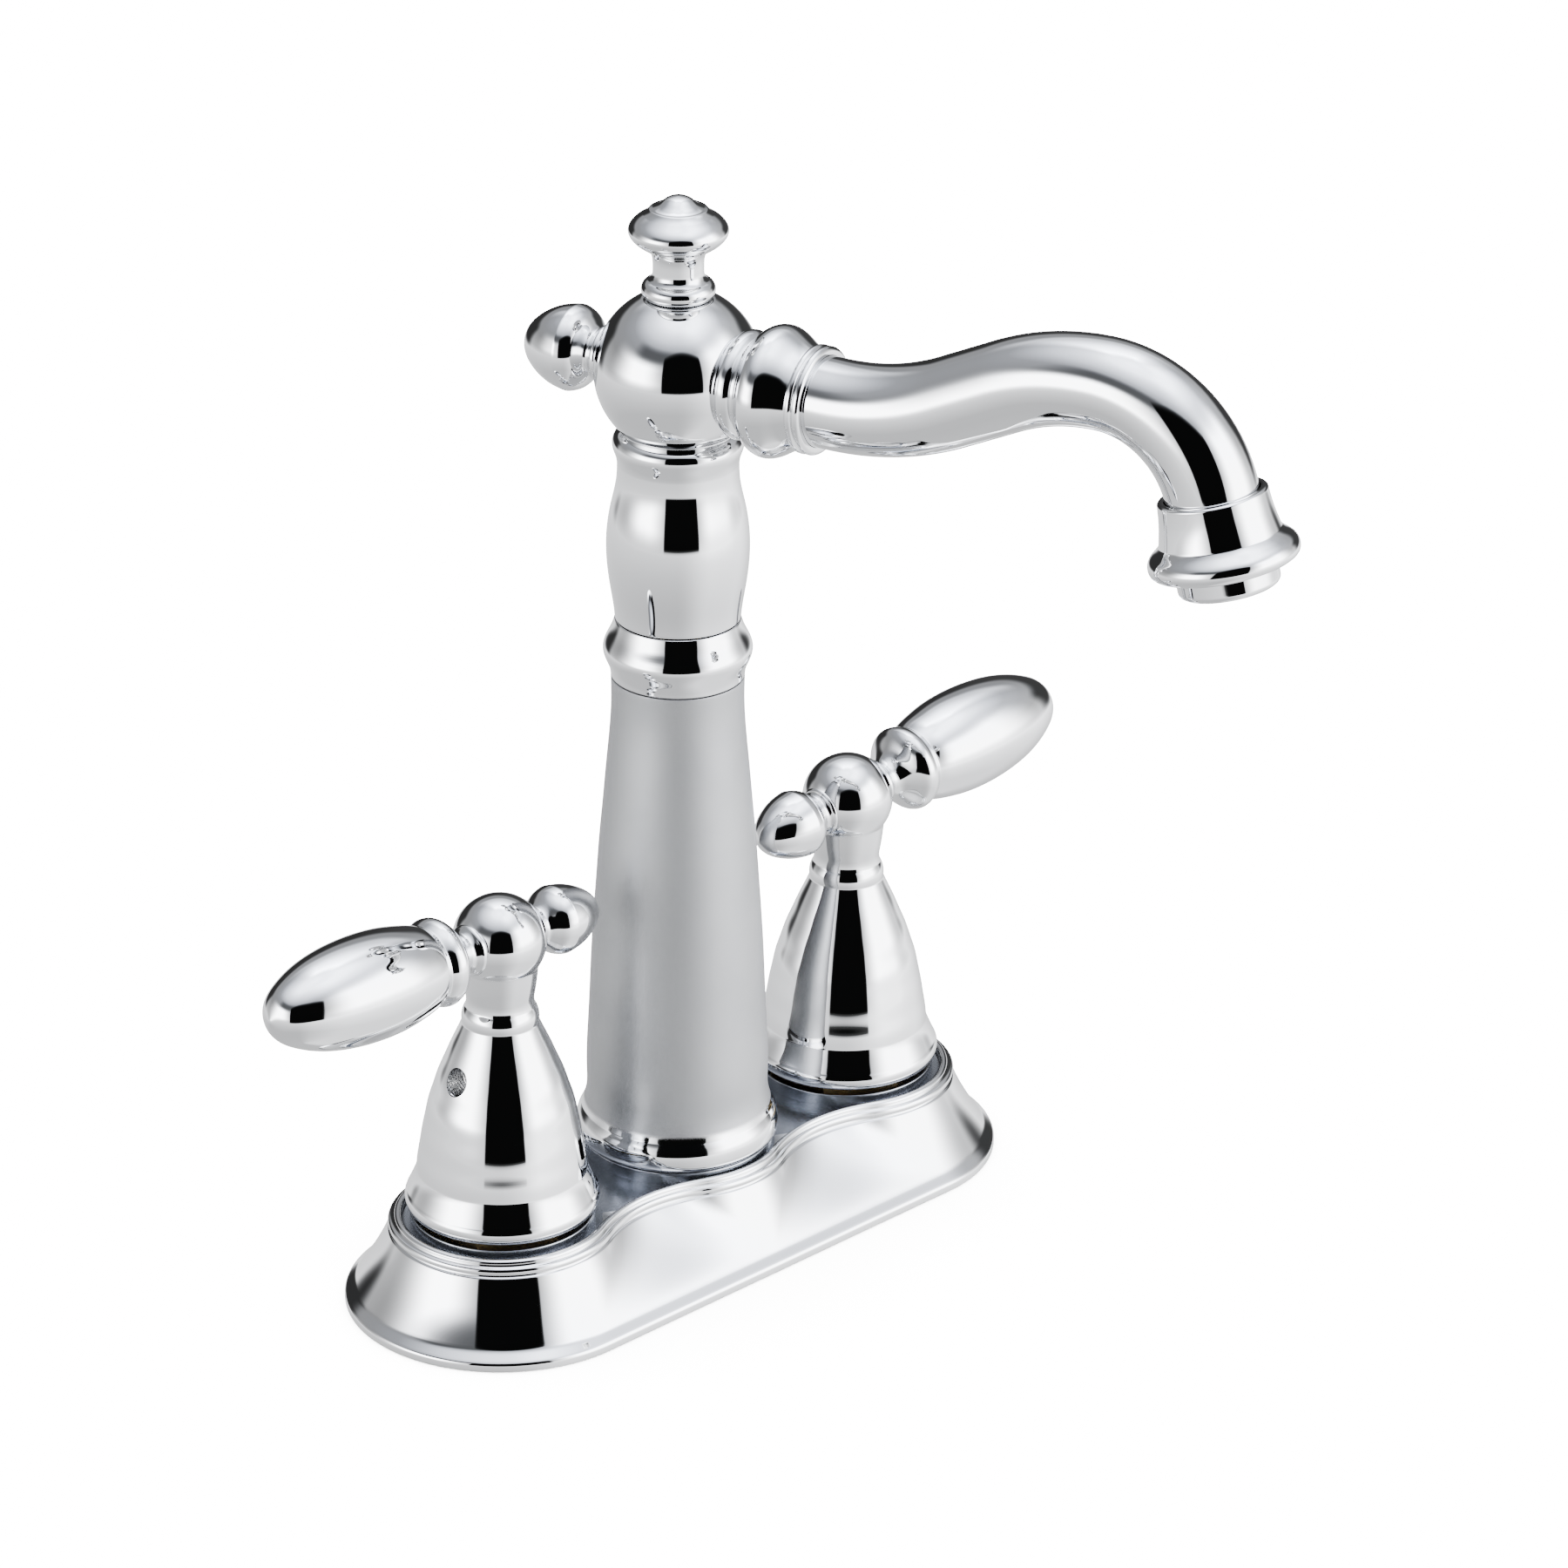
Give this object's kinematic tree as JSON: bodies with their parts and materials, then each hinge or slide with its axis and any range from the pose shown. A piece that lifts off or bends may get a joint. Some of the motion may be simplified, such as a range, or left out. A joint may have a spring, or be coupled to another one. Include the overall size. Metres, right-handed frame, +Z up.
{
  "type": "two-handle bar faucet",
  "caption": "Deck-mounted centre-set bar faucet: lobed base plate, lever handles either side of a tall column and a curved swivel spout, all polished chrome.",
  "frame": {"origin": "on the column axis, at the underside of the base plate and gasket, where they rest on the counter", "axes": "+X towards the cold handle, +Y away from the user, +Z up along the column"},
  "size_m": [0.2257, 0.1704, 0.2849],
  "materials": {
    "polished_chrome": "polished",
    "cast_brass": "machined",
    "nylon": "matt",
    "black_rubber": "matt",
    "stainless_steel": "bright drawn"
  },
  "bodies": {
    "base": {"deck_plate": "polished_chrome", "column_shell": "polished_chrome", "coupling_ring": "polished_chrome", "valve_body": "cast_brass", "mounting_nuts": "cast_brass", "deck_nuts": "cast_brass", "riser_post": "cast_brass", "base_gasket": "black_rubber", "mounting_washers": "stainless_steel", "spout_seals": "black_rubber", "retaining_ring": "stainless_steel", "swivel_washer": "nylon", "hot_bonnet_nut": "cast_brass", "hot_cartridge": "cast_brass", "hot_rubber_seat": "black_rubber", "hot_seat_spring": "stainless_steel", "cold_bonnet_nut": "cast_brass", "cold_cartridge": "cast_brass", "cold_rubber_seat": "black_rubber", "cold_seat_spring": "stainless_steel"},
    "spout": {"spout_hub": "polished_chrome", "top_finial": "polished_chrome", "rear_finial": "polished_chrome", "spout_collar": "polished_chrome", "spout_tube": "polished_chrome", "outlet_shell": "polished_chrome", "outlet_insert": "polished_chrome", "outlet_washer": "black_rubber", "outlet_screen": "stainless_steel"},
    "hot_handle": {"hot_stem": "cast_brass", "hot_set_screw": "stainless_steel", "hot_handle_hub": "polished_chrome", "hot_lever": "polished_chrome", "hot_lever_finial": "polished_chrome"},
    "cold_handle": {"cold_stem": "cast_brass", "cold_set_screw": "stainless_steel", "cold_handle_hub": "polished_chrome", "cold_lever": "polished_chrome", "cold_lever_finial": "polished_chrome"}
  },
  "joints": [
    {"name": "spout_swivel", "type": "hinge", "parent": "base", "child": "spout", "pos_m": [0, 0, 0.15], "axis": [0, 0, 1], "continuous": true},
    {"name": "hot_handle_turn", "type": "hinge", "parent": "base", "child": "hot_handle", "pos_m": [-0.0508, 0, 0.05], "axis": [0, 0, 1], "range_deg": [0, 90]},
    {"name": "cold_handle_turn", "type": "hinge", "parent": "base", "child": "cold_handle", "pos_m": [0.0508, 0, 0.05], "axis": [0, 0, 1], "range_deg": [-90, 0]}
  ]
}
